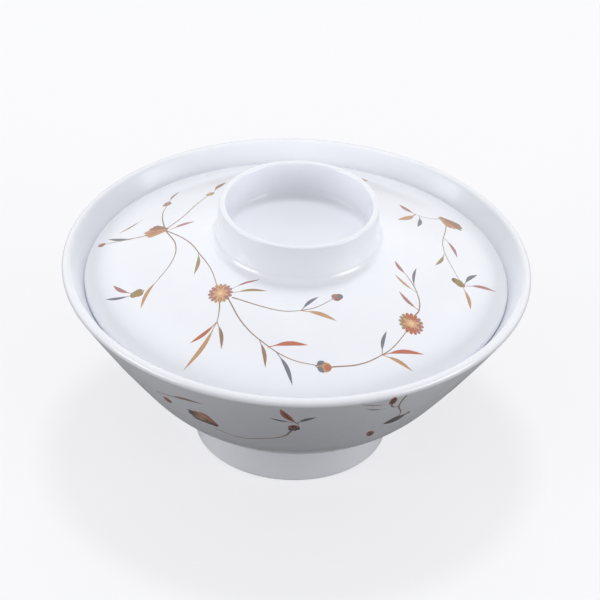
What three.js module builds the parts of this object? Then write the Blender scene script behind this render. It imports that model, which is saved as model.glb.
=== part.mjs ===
// Lidded melamine rice bowl: millimetres, +Z up, standing on the plane z = 0, centred on the Z axis.
// It is two compression mouldings: a flared bowl with a foot ring, and a domed lid with a ring grip.
// The lid is smaller than the rim, so it drops in and rests on the bowl's sloping inner wall.

import * as THREE from 'three';

// Bowl
const RIM_DIAMETER = 140;
const BOWL_HEIGHT = 59.6;
const BOWL_WALL = 3; // the lip is a full round of this thickness
const WALL_LEAN = 32; // degrees from upright, at the lip
const WALL_CURVE = 380; // radius of the outer wall's slight swell, seen in section
const FLOOR = 3;
const FLOOR_FLAT = 16; // diameter of the flat inside, from which a round base runs into the wall
const FOOT_DIAMETER = 58; // outside, on the standing plane
const FOOT_RING = 3.4; // thickness of the ring on the standing plane
const FOOT_RECESS = 7.3; // depth of the hollow that the ring encloses
const FOOT_FILLET = 0.8; // between the ring's outside and the round base

// Lid
const LID_DROP = 6.3; // from the top of the rim down to the middle of the lid's edge
const LID_WALL = 2.8; // the edge is a full round of this thickness
const DOME_CURVE = 123; // radius of the dome's outside
const CROWN_FLAT = 44; // diameter of the flat under the grip, on the lid's underside
const CROWN_BEND = 15; // radius between that flat and the dome's underside
const GRIP_DIAMETER = 47.4; // outside, at the top of the ring
const GRIP_HEIGHT = 11.7; // from the dome to the top of the ring
const GRIP_LIP = 1.8; // thickness of the ring at its top
const GRIP_FLARE = 3; // radius of the sweep from the ring's outside to the dome
const GRIP_BEND = 3; // radius between the ring's inside and the floor that it encloses

// Moulding
const DRAFT = 3; // degrees that each ring's sides lean, so that it leaves its mould
const EDGE_ROUND = 0.75; // on the corners of the foot ring and of the grip
const RECESS_ROUND = 1.5; // in the corner of the hollow under the bowl
const SEAT_GAP = 0.3; // between the lid's edge and the wall that carries it

// Facets
const SEGMENTS = 64;
const FACET_ERROR = 0.05; // furthest that a chord strays from its arc, in section

const RIGHT = new THREE.Vector2(1, 0);
const UP = new THREE.Vector2(0, 1);
const DOWN = new THREE.Vector2(0, -1);

// A section is drawn with x as the distance from the axis and y as the height.
const point = (radius, height) => new THREE.Vector2(radius, height);

const angleTo = (from, to) => Math.atan2(to.y - from.y, to.x - from.x);

// The point that lies a given distance from one point in the direction of another.
function toward(from, to, distance) {
  const direction = to.clone().sub(from).normalize();
  return from.clone().addScaledVector(direction, distance);
}

// Where a line from a point inside a circle, along a unit direction, leaves that circle.
function leavesCircle(start, direction, centre, radius) {
  const fromCentre = start.clone().sub(centre);
  const along = fromCentre.dot(direction);
  const run = Math.sqrt(along * along - fromCentre.lengthSq() + radius * radius) - along;
  return start.clone().addScaledVector(direction, run);
}

// The radius of the arc that rises from a level line at a given point and runs into a circle round it.
function levelToCircle(start, centre, radius) {
  const fromCentre = start.clone().sub(centre);
  return (radius ** 2 - fromCentre.lengthSq()) / (2 * (radius + fromCentre.y));
}

// Points along an arc from one angle to another, both ends included.
function sweep(centre, radius, fromAngle, toAngle) {
  const step = 2 * Math.acos(1 - FACET_ERROR / radius);
  const count = Math.ceil(Math.abs(toAngle - fromAngle) / step);
  const turn = (toAngle - fromAngle) / count;
  return Array.from({ length: count + 1 }, (_, i) => {
    const angle = fromAngle + turn * i;
    return point(centre.x + radius * Math.cos(angle), centre.y + radius * Math.sin(angle));
  });
}

// Points along the shorter arc about a centre, from one point to another.
function arc(centre, start, end) {
  const fromAngle = angleTo(centre, start);
  const turn = Math.atan2(
    Math.sin(angleTo(centre, end) - fromAngle),
    Math.cos(angleTo(centre, end) - fromAngle),
  );
  return sweep(centre, centre.distanceTo(start), fromAngle, fromAngle + turn);
}

// Points of the arc that rounds the corner between two straight runs.
function roundedCorner(before, corner, after, radius) {
  const back = before.clone().sub(corner).normalize();
  const ahead = after.clone().sub(corner).normalize();
  const halfAngle = Math.acos(back.dot(ahead)) / 2;
  const setback = radius / Math.tan(halfAngle);
  const middle = corner.clone().add(back).add(ahead);
  const centre = toward(corner, middle, radius / Math.sin(halfAngle));
  return arc(centre, toward(corner, before, setback), toward(corner, after, setback));
}

// Points of the hollow sweep that joins a leaning side to the arc it stands on, from side to arc.
// The side is given by a point of its line inside the arc's circle, and by unit directions along it and out of it.
function sweptRoot(inside, along, outward, radius, arcCentre, arcRadius) {
  const start = inside.clone().addScaledVector(outward, radius);
  const centre = leavesCircle(start, along, arcCentre, arcRadius + radius);
  const onSide = centre.clone().addScaledVector(outward, -radius);
  const onArc = toward(arcCentre, centre, arcRadius);
  return arc(centre, onSide, onArc);
}

// One section made of runs of points, with the points that two runs share kept once.
function joinRuns(...runs) {
  const points = runs.flat();
  const shared = 1e-6;
  return points.filter((each, i) => i === 0 || each.distanceTo(points[i - 1]) > shared);
}

// The bowl in section: the lip, a wall that is one arc about wallCentre, and a round base about baseCentre
const draftSlope = Math.tan(THREE.MathUtils.degToRad(DRAFT));
const lean = THREE.MathUtils.degToRad(WALL_LEAN);
const wallOutward = point(Math.cos(lean), -Math.sin(lean));
const lipRound = BOWL_WALL / 2;
const lipCentre = point(RIM_DIAMETER / 2 - lipRound, BOWL_HEIGHT - lipRound);
const wallCentre = lipCentre.clone().addScaledVector(wallOutward, lipRound - WALL_CURVE);
const innerWallCurve = WALL_CURVE - BOWL_WALL;
const floorEdge = point(FLOOR_FLAT / 2, FOOT_RECESS + FLOOR);
const innerBaseCurve = levelToCircle(floorEdge, wallCentre, innerWallCurve);
const baseCurve = innerBaseCurve + BOWL_WALL;
const baseCentre = point(floorEdge.x, floorEdge.y + innerBaseCurve);

// From the middle of the hollow under the bowl, round the outside and the lip, to the middle of the inside
function bowlSection() {
  const recessMiddle = point(0, FOOT_RECESS);
  const landInside = point(FOOT_DIAMETER / 2 - FOOT_RING, 0);
  const landOutside = point(FOOT_DIAMETER / 2, 0);
  const recessCorner = point(landInside.x - FOOT_RECESS * draftSlope, FOOT_RECESS);

  const footInside = point(landOutside.x + baseCentre.y * draftSlope, baseCentre.y);
  const footSide = landOutside.clone().sub(footInside).normalize();
  const footOutward = point(-footSide.y, footSide.x);
  const footRoot = sweptRoot(footInside, footSide, footOutward, FOOT_FILLET, baseCentre, baseCurve);

  const baseTop = toward(wallCentre, baseCentre, WALL_CURVE);
  const innerBaseTop = toward(wallCentre, baseCentre, innerWallCurve);
  const lipAngle = angleTo(wallCentre, lipCentre);
  const lip = sweep(lipCentre, lipRound, lipAngle, lipAngle + Math.PI);

  const floorMiddle = point(0, floorEdge.y);

  return joinRuns(
    recessMiddle,
    roundedCorner(recessMiddle, recessCorner, landInside, RECESS_ROUND),
    roundedCorner(recessCorner, landInside, landOutside, EDGE_ROUND),
    roundedCorner(landInside, landOutside, footInside, EDGE_ROUND),
    footRoot,
    arc(baseCentre, footRoot.at(-1), baseTop),
    arc(wallCentre, baseTop, lip[0]),
    lip,
    arc(wallCentre, lip.at(-1), innerBaseTop),
    arc(baseCentre, innerBaseTop, floorEdge),
    floorMiddle,
  );
}

// From the middle of the underside, round the edge and over the dome and the grip, to the middle of its floor
function lidSection() {
  const edgeRound = LID_WALL / 2;
  const edgeHeight = point(0, BOWL_HEIGHT - LID_DROP);
  const edgeCentre = leavesCircle(edgeHeight, RIGHT, wallCentre, innerWallCurve - SEAT_GAP - edgeRound);
  const domeCentre = leavesCircle(edgeHeight, DOWN, edgeCentre, DOME_CURVE - edgeRound);
  const edgeAngle = angleTo(domeCentre, edgeCentre);
  const edge = sweep(edgeCentre, edgeRound, edgeAngle - Math.PI, edgeAngle);

  const underCurve = DOME_CURVE - LID_WALL;
  const crownRim = leavesCircle(point(CROWN_FLAT / 2, domeCentre.y), UP, domeCentre, underCurve);
  const crownMiddle = point(0, crownRim.y);
  const bendHeight = point(0, crownMiddle.y - CROWN_BEND);
  const bendCentre = leavesCircle(bendHeight, RIGHT, domeCentre, underCurve - CROWN_BEND);
  const bendTop = point(bendCentre.x, crownMiddle.y);
  const bendBottom = toward(domeCentre, bendCentre, underCurve);

  const gripRadius = GRIP_DIAMETER / 2;
  const gripBase = leavesCircle(point(gripRadius, domeCentre.y), UP, domeCentre, DOME_CURVE);
  const gripTop = gripBase.y + GRIP_HEIGHT;
  const lipOutside = point(gripRadius, gripTop);
  const lipInside = point(gripRadius - GRIP_LIP, gripTop);
  const sideFoot = point(gripRadius + GRIP_HEIGHT * draftSlope, gripBase.y);
  const sideUp = lipOutside.clone().sub(sideFoot).normalize();
  const sideOutward = point(sideUp.y, -sideUp.x);
  const flare = sweptRoot(sideFoot, sideUp, sideOutward, GRIP_FLARE, domeCentre, DOME_CURVE).reverse();

  const gripFloor = point(0, crownMiddle.y + LID_WALL);
  const floorCorner = point(lipInside.x - (gripTop - gripFloor.y) * draftSlope, gripFloor.y);

  return joinRuns(
    crownMiddle,
    arc(bendCentre, bendTop, bendBottom),
    arc(domeCentre, bendBottom, edge[0]),
    edge,
    arc(domeCentre, edge.at(-1), flare[0]),
    flare,
    roundedCorner(sideFoot, lipOutside, lipInside, EDGE_ROUND),
    roundedCorner(lipOutside, lipInside, floorCorner, EDGE_ROUND),
    roundedCorner(lipInside, floorCorner, gripFloor, GRIP_BEND),
    gripFloor,
  );
}

// A named body of revolution about the Z axis
function turned(name, section, material) {
  const geometry = new THREE.LatheGeometry(section, SEGMENTS);
  geometry.rotateX(Math.PI / 2);
  const mesh = new THREE.Mesh(geometry, material);
  mesh.name = name;
  return mesh;
}

// Glossy white melamine with a faint cool cast
const bowlMelamine = new THREE.MeshStandardMaterial({ color: 0xe6e6ec, roughness: 0.22, metalness: 0 });
const lidMelamine = new THREE.MeshStandardMaterial({ color: 0xe9e9ef, roughness: 0.2, metalness: 0 });

const riceBowl = new THREE.Group();
riceBowl.add(
  turned('bowl', bowlSection(), bowlMelamine),
  turned('lid', lidSection(), lidMelamine),
);

export default riceBowl;
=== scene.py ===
# Looks of a lidded melamine rice bowl: metres, +Z up, standing on z = 0 and turned about the Z axis.

import math

import bmesh
import bpy
from mathutils import Matrix, Quaternion, Vector


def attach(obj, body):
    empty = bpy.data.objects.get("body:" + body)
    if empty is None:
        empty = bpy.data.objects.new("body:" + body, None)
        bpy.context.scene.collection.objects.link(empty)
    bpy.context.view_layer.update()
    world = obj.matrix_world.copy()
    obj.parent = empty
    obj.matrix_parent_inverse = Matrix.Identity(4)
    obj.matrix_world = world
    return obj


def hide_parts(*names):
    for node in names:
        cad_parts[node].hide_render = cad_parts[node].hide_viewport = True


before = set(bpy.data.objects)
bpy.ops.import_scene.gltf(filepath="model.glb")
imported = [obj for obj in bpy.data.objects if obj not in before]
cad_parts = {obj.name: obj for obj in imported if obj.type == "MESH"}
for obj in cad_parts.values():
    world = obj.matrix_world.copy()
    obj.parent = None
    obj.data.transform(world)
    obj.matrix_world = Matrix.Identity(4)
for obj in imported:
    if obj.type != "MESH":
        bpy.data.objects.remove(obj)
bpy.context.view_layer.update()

MM = 0.001

# Bowl
RIM_RADIUS = 70 * MM
BOWL_HEIGHT = 59.6 * MM
BOWL_WALL = 3 * MM
WALL_LEAN = math.radians(32)  # from upright, at the lip
WALL_CURVE = 380 * MM
FLOOR = 3 * MM
FLOOR_FLAT = 8 * MM  # radius of the flat inside, from which a round base runs into the wall
FOOT_RADIUS = 29 * MM
FOOT_RING = 3.4 * MM
FOOT_RECESS = 7.3 * MM
FOOT_FILLET = 0.8 * MM

# Lid
LID_DROP = 6.3 * MM
LID_WALL = 2.8 * MM
DOME_CURVE = 123 * MM
CROWN_RADIUS = 22 * MM
CROWN_BEND = 15 * MM
GRIP_RADIUS = 23.7 * MM
GRIP_HEIGHT = 11.7 * MM
GRIP_LIP = 1.8 * MM
GRIP_FLARE = 3 * MM
GRIP_BEND = 3 * MM

# Moulding
DRAFT = math.tan(math.radians(3))
EDGE_ROUND = 0.75 * MM
RECESS_ROUND = 1.5 * MM
SEAT_GAP = 0.05 * MM

# Fineness of the turned surfaces
TURN_STEPS = 256
SECTION_STEP = 1.5 * MM
ARC_STEP = math.radians(6)
LONGEST_STRAIGHT = 1.65 * MM
SAME_POINT = 0.001 * MM

# Wear: the heights under which a moulding is ground, and over which it is handled
BOWL_GROUND = 0.5 * MM
BOWL_HANDLED = 58.9 * MM
LID_GROUND = 52.6 * MM
LID_HANDLED = 80.2 * MM

# Print
FOIL_THICKNESS = 0.04 * MM
FIRST_INK_RISE = 0.01 * MM  # of the first ink's face above the melamine
NEXT_INK_RISE = 0.004 * MM  # of each ink above the one before, where strokes cross
PRINT_HOLD = 90 * MM  # above the lid or out from the bowl's axis, before the print is laid on
# Where a millimetre across the flat wall print is a millimetre round the bowl
WALL_PRINT_RADIUS = 60 * MM
WALL_PRINT_REPEATS = 4

# Stage
FLOOR_SPAN = 6
FLOOR_DROP = 0.05 * MM  # under the foot ring, so that the two don't share a plane

# Camera
CAMERA_PLACE = Vector((0, -977.9, 725.5)) * MM
CAMERA_AIM = Vector((1.41, 7.70, 40.83)) * MM
CAMERA_ROLL = math.radians(2.39)
CAMERA_LENS = 238  # millimetres, on a sensor 36 mm wide


def select_only(piece):
    bpy.ops.object.select_all(action="DESELECT")
    piece.select_set(True)
    bpy.context.view_layer.objects.active = piece


def apply_modifier(piece, kind, **settings):
    modifier = piece.modifiers.new(kind, kind)
    for name, value in settings.items():
        setattr(modifier, name, value)
    with bpy.context.temp_override(object=piece):
        bpy.ops.object.modifier_apply(modifier=modifier.name)


# Sections: x is the distance from the axis, y the height


def point(radius, height):
    return Vector((radius, height))


def toward(start, end, distance):
    return start + (end - start).normalized() * distance


def leaves_circle(start, direction, centre, radius):
    """Where a line from a point inside a circle, along a unit direction, leaves that circle."""
    offset = start - centre
    along = offset.dot(direction)
    run = math.sqrt(along**2 - offset.length_squared + radius**2) - along
    return start + direction * run


def level_to_circle(start, centre, radius):
    """The radius of the arc that rises from a level line at a point and runs into a circle round it."""
    offset = start - centre
    return (radius**2 - offset.length_squared) / (2 * (radius + offset.y))


def arc(centre, start, end):
    """Points of the shorter arc about a centre, from one point to another."""
    radius = (start - centre).length
    turn = (start - centre).angle_signed(end - centre)
    count = math.ceil(max(abs(turn) / ARC_STEP, abs(turn) * radius / SECTION_STEP))
    first = math.atan2(start.y - centre.y, start.x - centre.x)
    angles = [first - turn * step / count for step in range(count + 1)]
    return [centre + point(math.cos(angle), math.sin(angle)) * radius for angle in angles]


def half_round(centre, start):
    """Points of the half circle that goes anticlockwise about a centre from a point."""
    spoke = start - centre
    quarter = centre + point(-spoke.y, spoke.x)
    return arc(centre, start, quarter) + arc(centre, quarter, centre - spoke)


def rounded_corner(before, corner, after, radius):
    back = (before - corner).normalized()
    ahead = (after - corner).normalized()
    half_angle = back.angle(ahead) / 2
    setback = radius / math.tan(half_angle)
    centre = corner + (back + ahead).normalized() * (radius / math.sin(half_angle))
    return arc(centre, corner + back * setback, corner + ahead * setback)


def swept_root(inside, along, outward, radius, arc_centre, arc_radius):
    """Points of the hollow sweep from a leaning side, given by a point inside an arc, to that arc."""
    centre = leaves_circle(inside + outward * radius, along, arc_centre, arc_radius + radius)
    return arc(centre, centre - outward * radius, toward(arc_centre, centre, arc_radius))


def outline(*runs):
    """One section from runs of points, with even points on the straight stretches between them."""
    points = [runs[0][0]]
    for here in (each for run in runs for each in run):
        gap = here - points[-1]
        if gap.length < SAME_POINT:
            continue
        count = math.ceil(gap.length / LONGEST_STRAIGHT)
        start = points[-1]
        points += [start + gap * (step / count) for step in range(1, count + 1)]
    return points


RIGHT = point(1, 0)
UP = point(0, 1)
DOWN = point(0, -1)

lip_round = BOWL_WALL / 2
lip_centre = point(RIM_RADIUS - lip_round, BOWL_HEIGHT - lip_round)
wall_outward = point(math.cos(WALL_LEAN), -math.sin(WALL_LEAN))
wall_centre = lip_centre + wall_outward * (lip_round - WALL_CURVE)
inner_wall_curve = WALL_CURVE - BOWL_WALL
floor_edge = point(FLOOR_FLAT, FOOT_RECESS + FLOOR)
inner_base_curve = level_to_circle(floor_edge, wall_centre, inner_wall_curve)
base_curve = inner_base_curve + BOWL_WALL
base_centre = floor_edge + point(0, inner_base_curve)


def bowl_section():
    """From the middle of the hollow under the bowl, round the outside and the lip, to the middle inside."""
    recess_middle = point(0, FOOT_RECESS)
    land_inside = point(FOOT_RADIUS - FOOT_RING, 0)
    land_outside = point(FOOT_RADIUS, 0)
    recess_corner = point(land_inside.x - FOOT_RECESS * DRAFT, FOOT_RECESS)

    foot_inside = point(FOOT_RADIUS + base_centre.y * DRAFT, base_centre.y)
    foot_side = (land_outside - foot_inside).normalized()
    foot_outward = point(-foot_side.y, foot_side.x)
    foot_root = swept_root(foot_inside, foot_side, foot_outward, FOOT_FILLET, base_centre, base_curve)

    base_top = toward(wall_centre, base_centre, WALL_CURVE)
    inner_base_top = toward(wall_centre, base_centre, inner_wall_curve)
    lip = half_round(lip_centre, toward(wall_centre, lip_centre, WALL_CURVE))

    return outline(
        [recess_middle],
        rounded_corner(recess_middle, recess_corner, land_inside, RECESS_ROUND),
        rounded_corner(recess_corner, land_inside, land_outside, EDGE_ROUND),
        rounded_corner(land_inside, land_outside, foot_inside, EDGE_ROUND),
        foot_root,
        arc(base_centre, foot_root[-1], base_top),
        arc(wall_centre, base_top, lip[0]),
        lip,
        arc(wall_centre, lip[-1], inner_base_top),
        arc(base_centre, inner_base_top, floor_edge),
        [point(0, floor_edge.y)],
    )


def lid_section():
    """From the middle of the underside, round the edge, over the dome and the grip, to its floor."""
    edge_round = LID_WALL / 2
    edge_height = point(0, BOWL_HEIGHT - LID_DROP)
    edge_reach = inner_wall_curve - SEAT_GAP - edge_round
    edge_centre = leaves_circle(edge_height, RIGHT, wall_centre, edge_reach)
    dome_centre = leaves_circle(edge_height, DOWN, edge_centre, DOME_CURVE - edge_round)
    under_curve = DOME_CURVE - LID_WALL
    edge = half_round(edge_centre, toward(dome_centre, edge_centre, under_curve))

    crown_rim = leaves_circle(point(CROWN_RADIUS, dome_centre.y), UP, dome_centre, under_curve)
    crown_middle = point(0, crown_rim.y)
    bend_height = point(0, crown_middle.y - CROWN_BEND)
    bend_centre = leaves_circle(bend_height, RIGHT, dome_centre, under_curve - CROWN_BEND)
    bend_top = point(bend_centre.x, crown_middle.y)
    bend_bottom = toward(dome_centre, bend_centre, under_curve)

    grip_base = leaves_circle(point(GRIP_RADIUS, dome_centre.y), UP, dome_centre, DOME_CURVE)
    grip_top = grip_base.y + GRIP_HEIGHT
    lip_outside = point(GRIP_RADIUS, grip_top)
    lip_inside = point(GRIP_RADIUS - GRIP_LIP, grip_top)
    side_foot = point(GRIP_RADIUS + GRIP_HEIGHT * DRAFT, grip_base.y)
    side_up = (lip_outside - side_foot).normalized()
    side_outward = point(side_up.y, -side_up.x)
    flare = swept_root(side_foot, side_up, side_outward, GRIP_FLARE, dome_centre, DOME_CURVE)[::-1]

    grip_floor = point(0, crown_middle.y + LID_WALL)
    floor_corner = point(lip_inside.x - (grip_top - grip_floor.y) * DRAFT, grip_floor.y)

    return outline(
        [crown_middle],
        arc(bend_centre, bend_top, bend_bottom),
        arc(dome_centre, bend_bottom, edge[0]),
        edge,
        arc(dome_centre, edge[-1], flare[0]),
        flare,
        rounded_corner(side_foot, lip_outside, lip_inside, EDGE_ROUND),
        rounded_corner(lip_outside, lip_inside, floor_corner, EDGE_ROUND),
        rounded_corner(lip_inside, floor_corner, grip_floor, GRIP_BEND),
        [grip_floor],
    )


def turned(name, section):
    """A body of revolution: one vertex is drawn along the section, and the line is spun about Z."""
    bpy.ops.object.select_all(action="DESELECT")
    bpy.ops.mesh.primitive_plane_add(size=MM)
    piece = bpy.context.object
    piece.name = name
    bpy.ops.object.mode_set(mode="EDIT")
    bpy.ops.mesh.merge(type="CENTER")
    bpy.ops.transform.translate(value=(section[0].x, 0, section[0].y))
    for here, there in zip(section, section[1:]):
        step = there - here
        bpy.ops.mesh.extrude_region_move(TRANSFORM_OT_translate={"value": (step.x, 0, step.y)})
    bpy.ops.object.mode_set(mode="OBJECT")
    apply_modifier(piece, "SCREW", axis="Z", angle=math.tau, steps=TURN_STEPS, render_steps=TURN_STEPS)
    bpy.ops.object.mode_set(mode="EDIT")
    bpy.ops.mesh.select_all(action="SELECT")
    bpy.ops.mesh.remove_doubles(threshold=SAME_POINT)
    bpy.ops.mesh.normals_make_consistent(inside=False)
    bpy.ops.object.mode_set(mode="OBJECT")
    bpy.ops.object.shade_smooth()
    return piece


# Brush strokes of the print, drawn flat in millimetres


def nib(name, columns, width_at):
    """A flat strip, one unit long along X: its width follows a formula of the share of the way along."""
    bpy.ops.object.select_all(action="DESELECT")
    bpy.ops.mesh.primitive_grid_add(x_subdivisions=columns, y_subdivisions=2, size=1, calc_uvs=True)
    strip = bpy.context.object
    strip.name = name
    start = -0.5
    same_column = 0.0001
    bpy.ops.object.mode_set(mode="EDIT")
    mesh = bmesh.from_edit_mesh(strip.data)
    for x in sorted({round(vertex.co.x, 4) for vertex in mesh.verts}):
        for vertex in mesh.verts:
            vertex.select_set(abs(vertex.co.x - x) < same_column)
        mesh.select_flush_mode()
        bpy.ops.transform.resize(value=(1, width_at(x - start), 1), center_override=(x, 0, 0))
    bpy.ops.mesh.select_all(action="SELECT")
    bpy.ops.mesh.remove_doubles(threshold=0.001)
    bpy.ops.object.mode_set(mode="OBJECT")
    return strip


def leaf_width(along):
    """A thin stalk that widens into a slim blade."""
    stalk_length = 0.16
    stalk_width = 0.2
    blade = max(0, along - stalk_length) / (1 - stalk_length)
    return max(stalk_width * (1 - along), math.sin(math.pi * blade**0.9))


def petal_width(along):
    return (0.3 + 0.7 * along) * math.sqrt(max(0, 1 - along**6))


def stem_width(along):
    return 1 - 0.45 * along


def drop_width(along):
    return math.sqrt(max(0, 1 - (2 * along - 1) ** 2))


def polar(centre, length, degrees):
    heading = math.radians(degrees)
    return Vector(centre) + Vector((math.cos(heading), math.sin(heading))) * length


class Foil:
    """The flat print of one moulding: brush strokes gathered by ink, in millimetres."""

    nibs = {}

    def __init__(self):
        self.inks = {}
        self.shift = Vector((0, 0))

    def stroke(self, nib_name, ink, points, width):
        mark = self.nibs[nib_name].copy()
        mark.data = mark.data.copy()
        mark.data.transform(Matrix.Diagonal((1, width * MM, 1, 1)))
        path = bpy.data.curves.new("path", "CURVE")
        path.dimensions = "3D"
        path.twist_mode = "Z_UP"
        path.use_stretch = True
        path.use_deform_bounds = True
        spline = path.splines.new("BEZIER")
        spline.bezier_points.add(len(points) - 1)
        for bend, place in zip(spline.bezier_points, points):
            bend.co = ((Vector(place) + self.shift) * MM).to_3d()
            bend.handle_left_type = bend.handle_right_type = "AUTO"
        route = bpy.data.objects.new("path", path)
        for each in (mark, route):
            bpy.context.scene.collection.objects.link(each)
        apply_modifier(mark, "CURVE", object=route, deform_axis="POS_X")
        bpy.data.objects.remove(route)
        self.inks.setdefault(ink, []).append(mark)

    def stem(self, *points, width=0.4):
        self.stroke("stem", "umber", points, width)

    def leaf(self, ink, base, tip, width=1, bow=0.06):
        way = Vector(tip) - Vector(base)
        middle = (Vector(base) + Vector(tip)) / 2 + Vector((-way.y, way.x)) * bow
        self.stroke("leaf", ink, (base, middle, tip), width)

    def petal(self, ink, centre, heading, start, end, width):
        self.stroke("petal", ink, (polar(centre, start, heading), polar(centre, end, heading)), width)

    def disc(self, ink, centre, radius):
        across = Vector((radius, 0))
        self.stroke("drop", ink, (Vector(centre) - across, Vector(centre) + across), 2 * radius)

    def flower(self, centre, radius, inks):
        """An open double flower from above, sized in shares of its radius.

        The inks are those of its right, far, left and near petals.
        """
        petals = 16
        turn = 360 / petals
        for each in range(petals):
            ink = inks[round(each * 4 / petals) % 4]
            self.petal(ink, centre, each * turn, 0.35 * radius, radius, 0.35 * radius)
        for each in range(petals // 2):
            self.petal("tan", centre, (2 * each + 1) * turn, 0.1 * radius, 0.68 * radius, 0.4 * radius)
        for each in range(petals):
            crease = [polar(centre, reach * radius, (each + 0.5) * turn) for reach in (0.4, 0.8)]
            self.stroke("leaf", "iron_red", crease, 0.06 * radius)
        self.disc("straw", centre, 0.22 * radius)

    def half_flower(self, base, heading, length, near="ochre", far="umber", crease="iron_red"):
        """A flower seen from its side, sized in shares of its length.

        It is a fan of petals, the near ones in another ink than the far ones.
        """
        fan = ((-26, 0.82, far), (-14, 0.88, far), (24, 0.84, near), (12, 0.96, near), (0, 1, near))
        for lean, reach, ink in fan:
            self.petal(ink, base, heading + lean, 0.08 * length, reach * length, 0.32 * length)
        for lean in (-20, -7, 6, 18):
            fold = [polar(base, reach * length, heading + lean) for reach in (0.3, 0.86)]
            self.stroke("leaf", crease, fold, 0.06 * length)

    def bud(self, base, heading, length=2.6, body="ochre", spot="umber", cup="olive"):
        """A closed bud, sized in shares of its length.

        It is a round body with a spot at its tip, in a cup of two small leaves.
        """
        self.stroke("drop", body, (base, polar(base, length, heading)), 0.72 * length)
        tip = [polar(base, reach * length, heading) for reach in (0.45, 0.98)]
        self.stroke("drop", spot, tip, 0.42 * length)
        for lean in (-42, 42):
            tip = polar(base, 0.62 * length, heading + lean)
            self.leaf(cup, polar(base, -0.15 * length, heading), tip, 0.34 * length)


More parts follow.
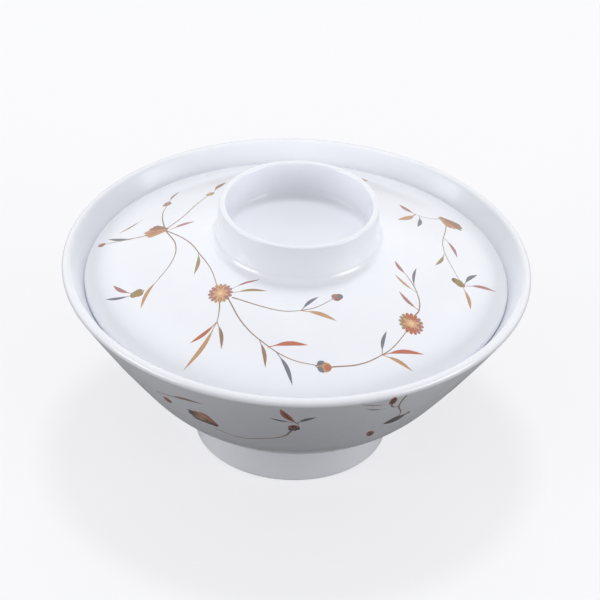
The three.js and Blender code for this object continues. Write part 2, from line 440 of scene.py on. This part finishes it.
def draw_lid_print(foil):
    """Four sprays round the lid: x runs to the right of the grip and y away from the viewer."""
    # Left spray
    foil.stem((-39.5, 7), (-34.5, 13), (-31.5, 18.5), (-27, 26))
    foil.stem((-40, 8), (-41, 17), (-40, 24))
    foil.stem((-39.5, 6.3), (-36, -4), (-37, -11), (-40.6, -17.5))
    foil.stem((-39.5, 6.5), (-32, -3), (-29, -9), (-25, -17.5), (-23, -24.5))
    foil.stem((-46, 6.5), (-51, 7.5), (-58, 10))
    foil.half_flower((-38.4, 6.6), 167, 8, near="ochre", far="umber")
    foil.leaf("mauve", (-38.2, 6.3), (-31, 8.3), 1.3)
    foil.bud((-27.5, 25), 60)
    foil.leaf("umber", (-26, 28), (-22.5, 35), 1.6)
    foil.bud((-40, 23.5), 85, 3, body="mauve")
    foil.leaf("umber", (-39.5, 26), (-36.5, 34), 0.8)
    foil.leaf("umber", (-47, 17.9), (-54, 13.5), 0.8)
    foil.leaf("slate", (-49.5, 7.2), (-57, 12.3), 1.15)
    foil.bud((-58, 9.8), 150, 2.3, body="mauve")
    foil.leaf("ochre", (-40.2, -16.9), (-45.2, -27.5), 1.2, bow=-0.08)
    foil.bud((-45, -20.5), 190, 3.7, body="olive")
    foil.leaf("mauve", (-48, -20.3), (-54, -14), 1.15)
    foil.leaf("slate", (-48, -21), (-56, -18.8), 0.95)
    foil.leaf("olive", (-29.2, -8.4), (-30, -18.5), 1.1)

    # Front spray
    foil.stem((-18.5, -29.5), (-9, -33.7), (-3, -35.2), (1.8, -34.8))
    foil.stem((1.8, -34.8), (6, -33.3), (11, -29.5), width=0.3)
    foil.stem((-22, -30.5), (-22, -34.5), (-22.4, -37.8))
    foil.stem((-19.5, -30), (-15, -39), (-9.6, -45), (-0.7, -50.8), (8, -52.4))
    foil.stem((10.5, -52.4), (19.5, -50), (25.7, -45.8), (28.5, -43), (33, -35.5))
    foil.stem((35, -29.5), (36.2, -27.2), (35.6, -20.5), (32.4, -14))
    foil.flower((-21.9, -27.5), 3.7, ("mauve", "ochre", "mauve", "ochre"))
    foil.leaf("mauve", (-18.6, -26.2), (-10.6, -23.3), 0.7)
    foil.leaf("olive", (-18.4, -27.8), (-8.2, -27.8), 0.9)
    foil.leaf("slate", (1.8, -34.8), (6.7, -29.3), 1.05)
    foil.leaf("ochre", (1.8, -34.8), (12.3, -37.3), 1.3)
    foil.bud((11, -29.4), 30, 3.2, body="mauve", spot="slate", cup="mauve")
    foil.leaf("iron_red", (-22.4, -37.8), (-30, -43.7), 1.2)
    foil.leaf("ochre", (-22.4, -37.8), (-31.4, -51.8), 1.35)
    foil.leaf("umber", (-22.4, -37.8), (-20.7, -47), 1.1)
    foil.leaf("umber", (-10, -44.6), (-7.8, -53.5), 1.1)
    foil.leaf("iron_red", (-7.4, -47.2), (4.2, -46.2), 1.4)
    foil.leaf("slate", (-4.8, -48.8), (0.2, -58.5), 1.2)
    foil.bud((7.2, -52.5), 0, 4.1, body="ochre", spot="iron_red", cup="slate")
    foil.leaf("slate", (25.7, -45.8), (26.8, -37.6), 1.05)
    foil.leaf("iron_red", (25.7, -45.8), (38, -41.9), 1.25)
    foil.leaf("ochre", (25.7, -45.8), (34.8, -48.3), 1.15)
    foil.flower((34, -32.8), 3.8, ("mauve", "iron_red", "olive", "iron_red"))
    foil.leaf("mauve", (36.2, -27.2), (30.2, -21.8), 1.15)
    foil.leaf("ochre", (35.5, -20.4), (28.8, -15), 0.8)
    foil.leaf("mauve", (32.6, -14.3), (28.8, -8.9), 1.15)
    foil.leaf("slate", (34.8, -18.8), (35.3, -9.6), 0.85)

    # Right spray
    foil.stem((43.5, 24.7), (39.3, 21.5), (35.3, 21.2), width=0.3)
    foil.stem((44.8, 24), (44.4, 17.5), (43.5, 5.5), (46.7, -4.8), (49, -9.6), width=0.3)
    foil.half_flower((42.2, 25.9), -32, 8.6, near="umber", far="ochre")
    foil.leaf("mauve", (35.3, 21.2), (30.2, 25.5), 1.8)
    foil.leaf("ochre", (35.3, 21.2), (29.7, 14), 1.8)
    foil.leaf("slate", (36.4, 20.5), (35.8, 13), 1.2)
    foil.leaf("mauve", (44, 11.4), (47.8, 2.8), 1.15)
    foil.leaf("olive", (43.8, 2.2), (41, -5.6), 1)
    foil.bud((49.4, -10), 165, 3.6, body="olive", spot="olive", cup="olive")
    foil.disc("umber", (49.3, -10.1), 0.8)
    foil.leaf("slate", (49.8, -9.4), (53.8, -2), 1.15)
    foil.leaf("mauve", (50.6, -9.6), (59.6, -5.8), 1.2)
    foil.leaf("ochre", (49.2, -10.6), (51.7, -19.2), 1.2)

    # Spray behind the grip
    foil.stem((1.5, 44), (-8, 46), (-15, 41))
    foil.stem((7, 43), (13, 46.5), (18, 43))
    foil.flower((4, 43), 3.8, ("tan", "mauve", "tan", "mauve"))
    foil.leaf("iron_red", (-8, 46), (-13.5, 50.5), 1.2)
    foil.leaf("slate", (-8, 46), (-8, 37.5), 1.2)
    foil.bud((-15, 41.2), 215, 3)
    foil.leaf("iron_red", (12, 46), (14, 53), 1.2)
    foil.leaf("olive", (13, 46.4), (12.3, 38), 1.2)
    foil.bud((18, 43.2), -30, 3)


def draw_wall_print(foil):
    """One spray of the bowl's wall, repeated round it: x runs round the bowl and y up it."""
    foil.stem((0.6, 41.9), (-1.7, 37), (-9.1, 33.3), (-17.4, 31.1), (-25, 33), width=0.6)
    foil.leaf("iron_red", (2.2, 46.1), (-2.7, 56.1), 1.8)
    foil.leaf("sepia", (2, 46.5), (-2.3, 55.3), 0.45)
    foil.leaf("slate", (0.6, 47.3), (-5.5, 49.5), 0.9)
    foil.leaf("slate", (1.8, 46.9), (6.8, 51), 1.4)
    foil.bud((1.4, 41.8), 100, 3.7, body="iron_red", spot="sepia", cup="sepia")
    foil.half_flower((-23, 35.6), 143, 10.6, near="sepia", far="iron_red", crease="straw")

    foil.stem((-41.3, 44.9), (-35.7, 47.1), (-30.7, 48.5))
    foil.leaf("umber", (-36, 46.9), (-24, 50.2), 1.3)
    foil.bud((-38.2, 43.5), 250, 3.2, body="iron_red", spot="sepia", cup="iron_red")

    foil.stem((29.6, 57.6), (29.3, 54.6), (29.8, 50.1), (32.6, 44.7), (33.2, 41.8), width=0.5)
    foil.stem((26.7, 52.9), (27.6, 51.2), (29.8, 50.1), width=0.5)
    foil.stroke("drop", "iron_red", ((26.7, 52.9), (26, 58)), 1.8)
    foil.stroke("drop", "sepia", ((26.6, 53.7), (26.1, 57.6)), 1.1)
    foil.leaf("umber", (26.2, 53.8), (16.8, 57.6), 0.4)
    foil.leaf("slate", (25.4, 51.2), (19.6, 53.3), 0.5)
    foil.leaf("sepia", (36.8, 42.3), (29.4, 38.7), 4.4)
    foil.stroke("drop", "iron_red", ((26.2, 35.3), (28.6, 30.5)), 2)
    foil.stroke("drop", "sepia", ((26.5, 34.8), (28.3, 31.1)), 1.2)


# From the lowest layer of the print to the highest
INK_ORDER = ("umber", "mauve", "olive", "ochre", "tan", "slate", "iron_red", "sepia", "straw")


def hold_over_lid(piece):
    for vertex in piece.data.vertices:
        vertex.co.z = PRINT_HOLD


def roll_round_bowl(piece):
    """Rolls a flat print into a tube outside the bowl, with the middle of the print at the front."""
    for vertex in piece.data.vertices:
        bearing = vertex.co.x / WALL_PRINT_RADIUS - math.pi / 2
        vertex.co = (PRINT_HOLD * math.cos(bearing), PRINT_HOLD * math.sin(bearing), vertex.co.y)


def fuse(foil, body, moulding, inks, hold, **direction):
    """Lays each ink's strokes on a moulding as a thin skin, a little above the skin of the ink before."""
    for layer, ink_name in enumerate(INK_ORDER):
        strokes = foil.inks.get(ink_name)
        if not strokes:
            continue
        select_only(strokes[0])
        for each in strokes:
            each.select_set(True)
        bpy.ops.object.join()
        piece = bpy.context.object
        piece.name = f"{body}_print_{ink_name}"
        hold(piece)
        apply_modifier(
            piece, "SHRINKWRAP", target=moulding, wrap_method="PROJECT", wrap_mode="ABOVE_SURFACE",
            offset=FIRST_INK_RISE + layer * NEXT_INK_RISE,
            use_positive_direction=False, use_negative_direction=True, **direction,
        )
        apply_modifier(piece, "SOLIDIFY", thickness=FOIL_THICKNESS, offset=-1)
        bpy.ops.object.shade_smooth_by_angle(angle=math.radians(30))
        piece.data.materials.append(inks[ink_name])
        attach(piece, body)


# Materials


def linear(hex_colour):
    """An sRGB hex colour as linear RGBA."""
    channels = [int(hex_colour[at:at + 2], 16) / 255 for at in (0, 2, 4)]
    return [c / 12.92 if c <= 0.04045 else ((c + 0.055) / 1.055) ** 2.4 for c in channels] + [1]


def add(tree, kind, inputs=None, **settings):
    """Adds a node: settings are its own, and inputs are values or other nodes' outputs, by socket."""
    node = tree.nodes.new(kind)
    for name, value in settings.items():
        setattr(node, name, value)
    for socket, value in (inputs or {}).items():
        if isinstance(value, bpy.types.NodeSocket):
            tree.links.new(value, node.inputs[socket])
        else:
            node.inputs[socket].default_value = value
    return node


def new_material(name):
    material = bpy.data.materials.new(name)
    material.use_nodes = True
    material.node_tree.nodes.clear()
    return material, material.node_tree


def melamine(name, foot, crest):
    """White melamine, pressed in a polished mould: glossy and hard, with filler that clouds it faintly.

    Below the height foot, where it stands, it is ground and scuffed. Above the height crest, where it is
    held, stacked and drunk from, its gloss has gone a little dull.
    """
    material, tree = new_material(name)
    place = add(tree, "ShaderNodeTexCoord").outputs["Object"]
    height = add(tree, "ShaderNodeSeparateXYZ", {0: place}).outputs["Z"]
    clouds = add(tree, "ShaderNodeTexNoise", {"Vector": place, "Scale": 1 / (9 * MM), "Detail": 3})
    white = add(tree, "ShaderNodeMix", {
        "Factor": clouds.outputs["Fac"], 6: linear("f2f4fa"), 7: linear("eef0f7"),
    }, data_type="RGBA")
    haze = add(tree, "ShaderNodeTexNoise", {"Vector": place, "Scale": 1 / (4 * MM), "Detail": 4})
    gloss = add(tree, "ShaderNodeMapRange", {
        "Value": haze.outputs["Fac"], "From Min": 0.3, "From Max": 0.7, "To Min": 0.16, "To Max": 0.24,
    })
    handled = add(tree, "ShaderNodeMapRange", {
        "Value": height, "From Min": crest, "From Max": crest + 2 * MM, "To Max": 0.05,
    })
    held = add(tree, "ShaderNodeMath", {
        0: gloss.outputs["Result"], 1: handled.outputs["Result"],
    }, operation="ADD")
    ground = add(tree, "ShaderNodeMapRange", {
        "Value": height, "From Min": foot, "From Max": foot - 0.4 * MM,
    })
    grit = add(tree, "ShaderNodeTexNoise", {"Vector": place, "Scale": 1 / (0.8 * MM), "Detail": 4})
    scuffed = add(tree, "ShaderNodeMath", {
        0: ground.outputs["Result"], 1: grit.outputs["Fac"],
    }, operation="MULTIPLY")
    rough = add(tree, "ShaderNodeMath", {
        0: scuffed.outputs[0], 1: 0.5, 2: held.outputs[0],
    }, operation="MULTIPLY_ADD")
    colour = add(tree, "ShaderNodeMix", {
        "Factor": scuffed.outputs[0], 6: white.outputs[2], 7: linear("c4c2be"),
    }, data_type="RGBA")
    swirl = add(tree, "ShaderNodeTexNoise", {"Vector": place, "Scale": 1 / (7 * MM), "Detail": 1})
    relief = add(tree, "ShaderNodeBump", {
        "Height": swirl.outputs["Fac"], "Strength": 0.2, "Distance": 0.02 * MM,
    })
    surface = add(tree, "ShaderNodeBsdfPrincipled", {
        "Base Color": colour.outputs[2], "Roughness": rough.outputs[0], "IOR": 1.6,
        "Normal": relief.outputs["Normal"],
    })
    add(tree, "ShaderNodeOutputMaterial", {"Surface": surface.outputs["BSDF"]})
    return material


def ink(name, dark, pale):
    """Printed pigment under melamine's clear face: streaked along a stroke and darker at its sides."""
    material, tree = new_material(name)
    along = add(tree, "ShaderNodeTexCoord").outputs["UV"]
    stretched = add(tree, "ShaderNodeMapping", {"Vector": along, "Scale": (1.5, 9, 1)})
    streaks = add(tree, "ShaderNodeTexNoise", {
        "Vector": stretched.outputs["Vector"], "Scale": 2, "Detail": 2,
    })
    across = add(tree, "ShaderNodeSeparateXYZ", {0: along}).outputs["Y"]
    inward = add(tree, "ShaderNodeMath", {0: across, 1: 0.5}, operation="PINGPONG")
    pool = add(tree, "ShaderNodeMapRange", {
        "Value": inward.outputs[0], "From Min": 0, "From Max": 0.16, "To Min": 0.5, "To Max": 0,
    })
    spread = add(tree, "ShaderNodeMath", {
        0: streaks.outputs["Fac"], 1: pool.outputs["Result"],
    }, operation="SUBTRACT", use_clamp=True)
    colour = add(tree, "ShaderNodeMix", {
        "Factor": spread.outputs[0], 6: linear(dark), 7: linear(pale),
    }, data_type="RGBA")
    surface = add(tree, "ShaderNodeBsdfPrincipled", {
        "Base Color": colour.outputs[2], "Roughness": 0.2, "IOR": 1.6,
    })
    add(tree, "ShaderNodeOutputMaterial", {"Surface": surface.outputs["BSDF"]})
    return material


def paper_floor():
    """Paper that is white to the camera, with the object's shadow on it.

    The object's gloss mirrors it as plain paper without the white glow, and it throws up little light.
    """
    material, tree = new_material("pale_paper")
    rays = add(tree, "ShaderNodeLightPath")
    seen = add(tree, "ShaderNodeMath", {
        0: rays.outputs["Is Camera Ray"], 1: rays.outputs["Is Transmission Ray"],
    }, operation="MAXIMUM")
    dim = add(tree, "ShaderNodeBsdfDiffuse", {"Color": linear("545253")})
    plain = add(tree, "ShaderNodeBsdfDiffuse", {"Color": linear("9e9ea0")})
    unseen = add(tree, "ShaderNodeMixShader", {
        0: rays.outputs["Is Glossy Ray"], 1: dim.outputs["BSDF"], 2: plain.outputs["BSDF"],
    })
    lit = add(tree, "ShaderNodeBsdfDiffuse", {"Color": linear("959597")})
    glow = add(tree, "ShaderNodeEmission", {"Color": linear("fcfcff"), "Strength": 0.68})
    white = add(tree, "ShaderNodeAddShader", {0: lit.outputs["BSDF"], 1: glow.outputs["Emission"]})
    surface = add(tree, "ShaderNodeMixShader", {
        0: seen.outputs[0], 1: unseen.outputs[0], 2: white.outputs[0],
    })
    add(tree, "ShaderNodeOutputMaterial", {"Surface": surface.outputs[0]})
    return material


# Stage


def make_floor():
    bpy.ops.object.select_all(action="DESELECT")
    bpy.ops.mesh.primitive_plane_add(size=FLOOR_SPAN, location=(0, 0, -FLOOR_DROP))
    floor = bpy.context.object
    floor.name = "floor"
    floor.data.materials.append(paper_floor())


def make_world():
    """A dim white room, which the camera and the object's gloss see as a white backdrop."""
    world = bpy.data.worlds.new("studio")
    bpy.context.scene.world = world
    world.use_nodes = True
    tree = world.node_tree
    tree.nodes.clear()
    rays = add(tree, "ShaderNodeLightPath")
    mirrored = add(tree, "ShaderNodeMath", {
        0: rays.outputs["Is Glossy Ray"], 1: rays.outputs["Is Transmission Ray"],
    }, operation="MAXIMUM")
    seen = add(tree, "ShaderNodeMath", {
        0: rays.outputs["Is Camera Ray"], 1: mirrored.outputs[0],
    }, operation="MAXIMUM")
    room = add(tree, "ShaderNodeBackground", {"Color": linear("ffffff"), "Strength": 0.5})
    backdrop = add(tree, "ShaderNodeBackground", {"Color": linear("fafafc"), "Strength": 1})
    mixed = add(tree, "ShaderNodeMixShader", {
        0: seen.outputs[0], 1: room.outputs[0], 2: backdrop.outputs[0],
    })
    add(tree, "ShaderNodeOutputWorld", {"Surface": mixed.outputs[0]})


def softbox(name, place, size, power, mirrored=True):
    """An area lamp, in metres and watts, that faces the object and shows in its gloss if mirrored."""
    data = bpy.data.lights.new(name, "AREA")
    data.shape = "RECTANGLE"
    data.size, data.size_y = size
    data.energy = power
    lamp = bpy.data.objects.new(name, data)
    bpy.context.scene.collection.objects.link(lamp)
    lamp.visible_glossy = mirrored
    lamp.location = place
    lamp.rotation_euler = (CAMERA_AIM - Vector(place)).to_track_quat("-Z", "Y").to_euler()


def make_camera():
    data = bpy.data.cameras.new("camera")
    data.lens = CAMERA_LENS
    data.clip_start = 0.05
    camera = bpy.data.objects.new("camera", data)
    bpy.context.scene.collection.objects.link(camera)
    camera.location = CAMERA_PLACE
    facing = (CAMERA_AIM - CAMERA_PLACE).to_track_quat("-Z", "Y")
    camera.rotation_euler = (facing @ Quaternion((0, 0, 1), CAMERA_ROLL)).to_euler()
    bpy.context.scene.camera = camera


bowl = turned("bowl_moulding", bowl_section())
lid = turned("lid_moulding", lid_section())
bowl.data.materials.append(melamine("bowl_melamine", BOWL_GROUND, BOWL_HANDLED))
lid.data.materials.append(melamine("lid_melamine", LID_GROUND, LID_HANDLED))
for piece, body in ((bowl, "bowl"), (lid, "lid")):
    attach(piece, body)
    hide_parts(body)

inks = {
    "umber": ink("umber_ink", "8c6e56", "a68a70"),
    "mauve": ink("mauve_ink", "a0706c", "ba8a84"),
    "olive": ink("olive_ink", "968058", "b0986e"),
    "ochre": ink("ochre_ink", "b48860", "cea67e"),
    "tan": ink("tan_ink", "ca9c72", "dcb48e"),
    "slate": ink("slate_ink", "686970", "888992"),
    "iron_red": ink("iron_red_ink", "ae624a", "c87e60"),
    "sepia": ink("sepia_ink", "42302a", "5c463e"),
    "straw": ink("straw_ink", "e6b280", "f2cc9e"),
}
Foil.nibs = {
    "leaf": nib("leaf", 14, leaf_width),
    "petal": nib("petal", 8, petal_width),
    "stem": nib("stem", 24, stem_width),
    "drop": nib("drop", 10, drop_width),
}
lid_foil = Foil()
draw_lid_print(lid_foil)
fuse(lid_foil, "lid", lid, inks, hold_over_lid, use_project_z=True)

wall_foil = Foil()
for repeat in range(WALL_PRINT_REPEATS):
    wall_foil.shift.x = repeat * math.tau * WALL_PRINT_RADIUS / WALL_PRINT_REPEATS / MM
    draw_wall_print(wall_foil)
fuse(wall_foil, "bowl", bowl, inks, roll_round_bowl)
for each in Foil.nibs.values():
    bpy.data.objects.remove(each)

make_floor()
make_world()
for side, x in (("left", -1.14), ("right", 1.14)):
    softbox(f"{side}_softbox", (x, -0.46, 0.29), (0.8, 0.5), 6.6)
softbox("back_softbox", (0, 0.88, 0.92), (1.2, 1.2), 2)
softbox("key_softbox", (0, 0.35, 1.24), (0.24, 0.24), 4.1, mirrored=False)
make_camera()
bpy.context.scene.view_settings.view_transform = "Standard"
